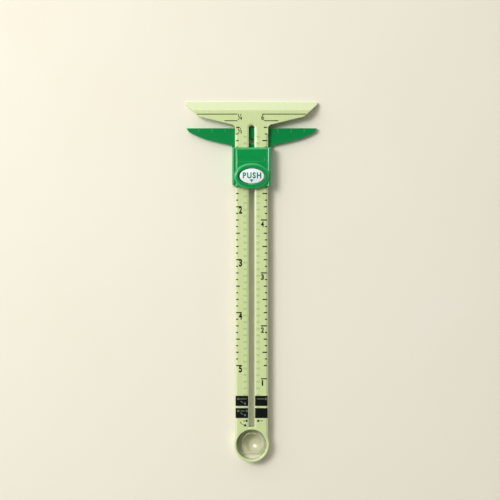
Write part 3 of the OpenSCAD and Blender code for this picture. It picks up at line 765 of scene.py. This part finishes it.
def makeSign():
    x0, x1, y0, y1 = sign["word"]
    letters = word("letters", "PUSH", x0, x1, buttonY + y0, buttonY + y1, sign["weight"],
                   sign["spacing"])
    x0, x1, y0, y1 = sign["pointer"]
    pointer = word("pointer", "▼", x0, x1, buttonY + y0, buttonY + y1, sign["weight"])
    cutsX = [k * sign["facet"] for k in sign["cutsX"]]
    cutsY = [buttonY + k * sign["facet"] for k in sign["cutsY"]]
    return laidOn("button_sign", [letters, pointer], buttonPiece, ink["thickness"], cutsX, cutsY)


prints = {
    "dark": [makeScale("left"), makeScale("right"), makeDigits("left"), makeDigits("right"),
             makeHeadMarks(), makeBlocks()],
    "pale": [makePaleSigns()],
    "teal": [makeSign()],
}
print("prints laid on")


# Materials, with patterns sized in millimetres

def perMm(length):  # noise scale for a pattern of that length, with coordinates in metres
    return 1 / (length * mm)


notches = {                 # under the bar, in two rows beside the slot
    "pitch": 3.175 * mm,
    "half": 0.45 * mm,
    "fade": (1.5, 0.6),     # a notch's shade sets in and is full at these shares of its half
    "rowX": 3.1 * mm,
    "rowHalf": 0.85 * mm,
    "rowSoft": 0.15 * mm,
    "low": -68.5 * mm,
    "high": 71.5 * mm,
    "shade": 0.5,
}
wear = {                    # fine lines where the slider has run
    "spacing": 0.22,        # mm, coarser than the real ones so that they show
    "stretch": 0.012,       # they change this much more slowly along the bar
}


def gaugePlastic():
    # polystyrene, injection moulded in a polished tool: glossy and slightly see-through, so the
    # notches underneath show faintly; its thin bevels get a painted highlight, a paler colour in place
    # of light
    material, shader = newMaterial("mouldedPolystyrene", {
        "IOR": 1.59, "Specular IOR Level": 0.4, "Subsurface Weight": 0.12,
        "Subsurface Scale": 1.5 * mm, "Subsurface Radius": (1.0, 1.0, 0.45)})
    place = addNode(material, "ShaderNodeTexCoord").outputs
    flow = addNode(material, "ShaderNodeTexNoise", {"Scale": perMm(14), "Detail": 3.0},
                   {"Vector": place["Object"]})
    body = addNode(material, "ShaderNodeMix",
                   {"data_type": "RGBA", 6: linear("#CDDD9D"), 7: linear("#D8E7AC")},
                   {0: flow.outputs[0]})
    # painted highlight: bevels and walls are painted paler, in place of the light they catch
    facing = addNode(material, "ShaderNodeSeparateXYZ", links={0: place["Normal"]})
    tilt = addNode(material, "ShaderNodeMapRange",
                   {"From Min": 0.99, "From Max": 0.9, "To Max": 0.85},
                   {"Value": facing.outputs["Z"]})
    paintedBevelHighlight = addNode(material, "ShaderNodeMix", {"data_type": "RGBA", 7: linear("#D0DDB4")},
                    {0: tilt.outputs[0], 6: body.outputs[2]})
    # how near a point is to a notch's line across the bar, counted from the one under the button
    where = addNode(material, "ShaderNodeSeparateXYZ", links={0: place["Object"]})
    along = addNode(material, "ShaderNodeMath",
                    {"operation": "MULTIPLY_ADD", 1: 1 / notches["pitch"],
                     2: 0.5 - buttonY / notches["pitch"]}, {0: where.outputs["Y"]})
    phase = addNode(material, "ShaderNodeMath", {"operation": "FRACT"}, {0: along.outputs[0]})
    fromMiddle = addNode(material, "ShaderNodeMath", {"operation": "SUBTRACT", 1: 0.5},
                         {0: phase.outputs[0]})
    offLine = addNode(material, "ShaderNodeMath", {"operation": "ABSOLUTE"},
                      {0: fromMiddle.outputs[0]})
    half = notches["half"] / notches["pitch"]
    outside, inside = [half * share for share in notches["fade"]]
    onLine = addNode(material, "ShaderNodeMapRange", {"From Min": outside, "From Max": inside},
                     {"Value": offLine.outputs[0]})
    # and to one of the two rows
    across = addNode(material, "ShaderNodeMath", {"operation": "ABSOLUTE"},
                     {0: where.outputs["X"]})
    offRow = addNode(material, "ShaderNodeMath", {"operation": "SUBTRACT", 1: notches["rowX"]},
                     {0: across.outputs[0]})
    rowGap = addNode(material, "ShaderNodeMath", {"operation": "ABSOLUTE"}, {0: offRow.outputs[0]})
    onRow = addNode(material, "ShaderNodeMapRange",
                    {"From Min": notches["rowHalf"] + notches["rowSoft"],
                     "From Max": notches["rowHalf"] - notches["rowSoft"]},
                    {"Value": rowGap.outputs[0]})
    within = addNode(material, "ShaderNodeMath", {"operation": "LESS_THAN", 1: notches["high"]},
                     {0: where.outputs["Y"]})
    above = addNode(material, "ShaderNodeMath", {"operation": "GREATER_THAN", 1: notches["low"]},
                    {0: where.outputs["Y"]})
    shade = onLine.outputs[0]
    for mask in (onRow, within, above):
        shade = addNode(material, "ShaderNodeMath", {"operation": "MULTIPLY"},
                        {0: shade, 1: mask.outputs[0]}).outputs[0]
    shade = addNode(material, "ShaderNodeMath", {"operation": "MULTIPLY", 1: notches["shade"]},
                    {0: shade}).outputs[0]
    colour = addNode(material, "ShaderNodeMix", {"data_type": "RGBA", 7: linear("#A3BC76")},
                     {0: shade, 6: paintedBevelHighlight.outputs[2]})
    # the lines of wear show in the gloss alone
    runs = addNode(material, "ShaderNodeMapping", {"Scale": (1.0, wear["stretch"], 1.0)},
                   {"Vector": place["Object"]})
    lines = addNode(material, "ShaderNodeTexNoise", {"Scale": perMm(wear["spacing"]), "Detail": 2.0},
                    {"Vector": runs.outputs[0]})
    worn = addNode(material, "ShaderNodeMapRange",
                   {"From Min": 0.55, "From Max": 0.75, "To Min": 0.25, "To Max": 0.38},
                   {"Value": lines.outputs[0]})
    grain = addNode(material, "ShaderNodeTexNoise", {"Scale": perMm(0.5), "Detail": 3.0},
                    {"Vector": place["Object"]})
    bump = addNode(material, "ShaderNodeBump", {"Strength": 0.12, "Distance": 0.03 * mm},
                   {"Height": grain.outputs[0]})
    return wired(material, shader, {"Base Color": colour.outputs[2], "Roughness": worn.outputs[0],
                                    "Normal": bump.outputs[0]})


def mouldedPlastic(name, sockets, deep, pale, smooth, dull, patch, grainSize, grainDepth,
                   edge=None, raised=None):
    # any of the coloured mouldings: two close tones from the flow of the melt, a little uneven
    # gloss, soft grain; rounded edges, and marks that stand above a height, get a painted highlight
    material, shader = newMaterial(name, sockets)
    place = addNode(material, "ShaderNodeTexCoord").outputs
    flow = addNode(material, "ShaderNodeTexNoise", {"Scale": perMm(patch), "Detail": 3.0},
                   {"Vector": place["Object"]})
    tone = addNode(material, "ShaderNodeMix",
                   {"data_type": "RGBA", 6: linear(deep), 7: linear(pale)}, {0: flow.outputs[0]})
    # edge is the colour of a painted highlight on tilted faces; above the raised height, marks are
    # painted with it too
    if edge:
        facing = addNode(material, "ShaderNodeSeparateXYZ", links={0: place["Normal"]})
        paintedEdgeHighlight = addNode(material, "ShaderNodeMapRange",
                         {"From Min": 0.99, "From Max": 0.8, "To Max": 0.5},
                         {"Value": facing.outputs["Z"]})
        if raised:
            # painted highlight on the tops of marks that stand above that height
            where = addNode(material, "ShaderNodeSeparateXYZ", links={0: place["Object"]})
            proud = addNode(material, "ShaderNodeMapRange",
                            {"From Min": raised, "From Max": raised + 0.02 * mm, "To Max": 0.7},
                            {"Value": where.outputs["Z"]})
            paintedEdgeHighlight = addNode(material, "ShaderNodeMath", {"operation": "MAXIMUM"},
                             {0: paintedEdgeHighlight.outputs[0], 1: proud.outputs[0]})
        tone = addNode(material, "ShaderNodeMix", {"data_type": "RGBA", 7: linear(edge)},
                       {0: paintedEdgeHighlight.outputs[0], 6: tone.outputs[2]})
    handled = addNode(material, "ShaderNodeTexNoise", {"Scale": perMm(patch / 3), "Detail": 4.0},
                      {"Vector": place["Object"]})
    gloss = addNode(material, "ShaderNodeMapRange",
                    {"From Min": 0.35, "From Max": 0.7, "To Min": smooth, "To Max": dull},
                    {"Value": handled.outputs[0]})
    grain = addNode(material, "ShaderNodeTexNoise", {"Scale": perMm(grainSize), "Detail": 2.0},
                    {"Vector": place["Object"]})
    bump = addNode(material, "ShaderNodeBump", {"Strength": 0.2, "Distance": grainDepth * mm},
                   {"Height": grain.outputs[0]})
    return wired(material, shader, {"Base Color": tone.outputs[2], "Roughness": gloss.outputs[0],
                                    "Normal": bump.outputs[0]})


def printInk(name, deep, pale):
    # pad-printed ink: a thin matt film, a little thinner in places, with a faint tooth from the pad
    return mouldedPlastic(name, {"Specular IOR Level": 0.15}, deep, pale, smooth=0.5, dull=0.65,
                          patch=0.6, grainSize=0.25, grainDepth=0.01)


acrylic = {
    "toolMarks": 0.35,       # mm to a radian, so rings 2.2 mm apart, much coarser than a lathe's
    "waveTurn": 20,          # radians in one unit of a wave texture at scale 1
    "clear": "#FBFCF6",      # light that has passed its level faces
    "dimmed": "#A3A578",     # and its steep sides
}


def clearAcrylic():
    # clear acrylic, turned and polished: sharp highlights, faint circular tool marks in the gloss
    material, shader = newMaterial("polishedAcrylic", {
        "Base Color": linear("#F7FAEE"), "Transmission Weight": 1.0, "IOR": 1.49})
    place = addNode(material, "ShaderNodeTexCoord").outputs
    centred = addNode(material, "ShaderNodeMapping", {"Location": (0, -ringY, 0)},
                      {"Vector": place["Object"]})
    rings = addNode(material, "ShaderNodeTexWave",
                    {"wave_type": "RINGS", "rings_direction": "Z", "Distortion": 0.6,
                     "Scale": perMm(acrylic["toolMarks"]) / acrylic["waveTurn"]},
                    {"Vector": centred.outputs[0]})
    gloss = addNode(material, "ShaderNodeMapRange", {"To Min": 0.02, "To Max": 0.06},
                    {"Value": rings.outputs["Fac"]})
    bump = addNode(material, "ShaderNodeBump", {"Strength": 0.05, "Distance": 0.01 * mm},
                   {"Height": rings.outputs["Fac"]})
    wired(material, shader, {"Roughness": gloss.outputs[0], "Normal": bump.outputs[0]})
    # lamps reach what is under it through its level faces; light that comes in there can't leave by
    # its steep sides, which keep it inside, so the gaps beside the flats stay dark
    path = addNode(material, "ShaderNodeLightPath")
    upright = addNode(material, "ShaderNodeSeparateXYZ", links={0: place["Normal"]})
    flatness = addNode(material, "ShaderNodeMath", {"operation": "ABSOLUTE"},
                       {0: upright.outputs["Z"]})
    share = addNode(material, "ShaderNodeMapRange", {"From Min": 0.3, "From Max": 0.8},
                    {"Value": flatness.outputs[0]})
    passed = addNode(material, "ShaderNodeMix",
                     {"data_type": "RGBA", 6: linear(acrylic["dimmed"]),
                      7: linear(acrylic["clear"])}, {0: share.outputs[0]})
    through = addNode(material, "ShaderNodeBsdfTransparent", links={"Color": passed.outputs[2]})
    lighting = addNode(material, "ShaderNodeMath", {"operation": "MAXIMUM"},
                       {0: path.outputs["Is Shadow Ray"], 1: path.outputs["Is Diffuse Ray"]})
    mixed = addNode(material, "ShaderNodeMixShader", links={
        0: lighting.outputs[0], 1: shader.outputs[0], 2: through.outputs[0]})
    return wired(material, material.node_tree.nodes["Material Output"],
                 {"Surface": mixed.outputs[0]})


def springWire():
    # cold drawn music wire: bright grey steel, its gloss and tone uneven from the drawing die
    material, shader = newMaterial("drawnSpringSteel", {"Metallic": 1.0})
    place = addNode(material, "ShaderNodeTexCoord").outputs["Object"]
    drawn = addNode(material, "ShaderNodeTexNoise", {"Scale": perMm(0.08), "Detail": 3.0},
                    {"Vector": place})
    tone = addNode(material, "ShaderNodeMix",
                   {"data_type": "RGBA", 6: linear("#A9ABAA"), 7: linear("#CFD0CE")},
                   {0: drawn.outputs[0]})
    gloss = addNode(material, "ShaderNodeMapRange", {"To Min": 0.22, "To Max": 0.42},
                    {"Value": drawn.outputs[0]})
    bump = addNode(material, "ShaderNodeBump", {"Strength": 0.2, "Distance": 0.005 * mm},
                   {"Height": drawn.outputs[0]})
    return wired(material, shader, {"Base Color": tone.outputs[2], "Roughness": gloss.outputs[0],
                                    "Normal": bump.outputs[0]})


markFoot = 2.44 * mm   # the fingers' raised marks start just above the base's top face
finishes = {
    "gauge_body": gaugePlastic(),
    # acrylonitrile butadiene styrene from a polished tool: deep even green with a wet gloss
    # edge: a painted highlight on its rounded edges
    "slider_cover": mouldedPlastic("glossyGreenAbs", {"IOR": 1.54, "Specular IOR Level": 0.4},
                                   "#008F43", "#03994B", smooth=0.12, dull=0.2, patch=9,
                                   grainSize=1.2, grainDepth=0.02, edge="#58BE84"),
    # the same plastic from a duller tool, so its gloss is softer
    # edge and raised: a painted highlight on its rounded edges and on the tops of its raised marks
    "slider_base": mouldedPlastic("satinGreenAbs", {"IOR": 1.54, "Specular IOR Level": 0.3},
                                  "#008340", "#048E47", smooth=0.17, dull=0.25, patch=12,
                                  grainSize=0.7, grainDepth=0.02, edge="#46B276", raised=markFoot),
    # and duller again inside, where it isn't seen
    "guide_plate": mouldedPlastic("innerGreenAbs", {"IOR": 1.54, "Specular IOR Level": 0.4},
                                  "#017A3A", "#04833F", smooth=0.3, dull=0.42, patch=8,
                                  grainSize=0.7, grainDepth=0.02),
    # white ABS, the same polished tool as the housing: clean, cool white with a soft sheen
    "push_button": mouldedPlastic("glossyWhiteAbs", {"IOR": 1.54}, "#ECF3F8", "#F3F7FA",
                                  smooth=0.16, dull=0.26, patch=5, grainSize=1.0, grainDepth=0.015),
    # natural acetal, moulded: milky grey-white and waxy
    "lock_pawl": mouldedPlastic("mouldedAcetal", {"IOR": 1.48, "Subsurface Weight": 0.1,
                                                  "Subsurface Scale": 1.0 * mm},
                                "#D2D3CF", "#DDDEDA", smooth=0.35, dull=0.5, patch=3,
                                grainSize=0.5, grainDepth=0.02),
    "return_spring": springWire(),
    "anchor_disc": clearAcrylic(),
}
inks = {
    "dark": printInk("darkPadInk", "#050906", "#0A0F0A"),
    "pale": printInk("palePadInk", "#8FA08C", "#AAB9A5"),
    "teal": printInk("tealPadInk", "#00806A", "#0A8C74"),
}
for node in ("gauge_body", "slider_base", "guide_plate", "lock_pawl"):
    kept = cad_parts[node].data.materials
    kept.clear()
    kept.append(finishes[node])

# The moulding tool's own small edge roundings on the pieces that are kept
softEdges = {
    "widths": {"gauge_body": 0.12 * mm, "slider_base": 0.1 * mm},
    "weld": 0.001 * mm,
    "flatAngle": 1,        # faces within this many degrees become one
    "edgeAngle": 25,       # and edges sharper than this are rounded
    "segments": 2,
}
for node, width in softEdges["widths"].items():
    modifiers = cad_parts[node].modifiers
    modifiers.new("weld", "WELD").merge_threshold = softEdges["weld"]
    flats = modifiers.new("flats", "DECIMATE")
    flats.decimate_type = "DISSOLVE"
    flats.angle_limit = math.radians(softEdges["flatAngle"])
    edges = modifiers.new("edges", "BEVEL")
    edges.width = width
    edges.segments = softEdges["segments"]
    edges.limit_method = "ANGLE"
    edges.angle_limit = math.radians(softEdges["edgeAngle"])
    edges.harden_normals = True

dress(coverPiece, finishes["slider_cover"], "slider", "green_plastic", "slider_cover")
dress(buttonPiece, finishes["push_button"], "button", "white_plastic", "push_button")
dress(discPiece, finishes["anchor_disc"], "anchor", "clear_plastic", "anchor_disc")
dress(springPiece, finishes["return_spring"], "slider", "spring_steel", "return_spring")
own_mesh(springPiece)
for tint, body, slot in (("dark", "gauge", "yellow_green_plastic"),
                         ("pale", "gauge", "yellow_green_plastic"),
                         ("teal", "button", "white_plastic")):
    for piece in prints[tint]:
        dress(piece, inks[tint], body, slot)
print("materials on")


# Studio: a pale floor, a soft room and one lamp

studio = {
    "floorSize": 6,
    "floorDrop": 0.05 * mm,          # a hair under the feet
    "air": "#FBF9F3",
    "windowWay": (-0.6, 0.7, 0.38),  # the bright side of the room, as a large soft window there is
    "windowEdge": (0.42, 0.95),      # it fades in between these shares of that direction
    "window": 1.7,
    "walls": 1.0,                    # the pale walls, seen round the floor
    "wallTop": 0.7,                  # where they have faded into the ceiling
    "ceiling": 0.12,
    "lampPlace": (-0.46, 0.27, 0.66),
    "lampSide": 0.3,
    "lampPower": 3.9,
}
bpy.ops.object.select_all(action="DESELECT")
bpy.ops.mesh.primitive_plane_add(size=studio["floorSize"], location=(0, 0, -studio["floorDrop"]))
floor = bpy.context.object
floor.name = "floor"
# painted board, rolled: matt, with an even pale cream
floor.data.materials.append(mouldedPlastic("paleBoard", {}, "#F1EBDA", "#F5F0E2", smooth=0.7,
                                           dull=0.85, patch=60, grainSize=2.0, grainDepth=0.02))

world = bpy.data.worlds.new("softRoom")
scene.world = world
world.use_nodes = True
toWorld = addNode(world, "ShaderNodeTexCoord").outputs["Generated"]
towards = addNode(world, "ShaderNodeVectorMath",
                  {"operation": "DOT_PRODUCT", 1: Vector(studio["windowWay"]).normalized()},
                  {0: toWorld})
window = addNode(world, "ShaderNodeMapRange",
                 {"interpolation_type": "SMOOTHSTEP", "From Min": studio["windowEdge"][0],
                  "From Max": studio["windowEdge"][1], "To Min": studio["ceiling"],
                  "To Max": studio["window"]}, {"Value": towards.outputs["Value"]})
height = addNode(world, "ShaderNodeSeparateXYZ", links={0: toWorld})
walls = addNode(world, "ShaderNodeMapRange",
                {"interpolation_type": "SMOOTHSTEP", "From Min": 0.0,
                 "From Max": studio["wallTop"], "To Min": studio["walls"],
                 "To Max": studio["ceiling"]}, {"Value": height.outputs["Z"]})
strength = addNode(world, "ShaderNodeMath", {"operation": "MAXIMUM"},
                   {0: window.outputs[0], 1: walls.outputs[0]})
room = world.node_tree.nodes["Background"]
room.inputs["Color"].default_value = linear(studio["air"])
wired(world, room, {"Strength": strength.outputs[0]})

bpy.ops.object.light_add(type="AREA", location=studio["lampPlace"])
lamp = bpy.context.object
lamp.name = "keyLamp"
lamp.data.shape = "RECTANGLE"
lamp.data.size = studio["lampSide"]
lamp.data.size_y = studio["lampSide"]
lamp.data.energy = studio["lampPower"]
lamp.rotation_mode = "QUATERNION"
lamp.rotation_quaternion = (-Vector(studio["lampPlace"])).to_track_quat("-Z", "Y")
print("studio set")
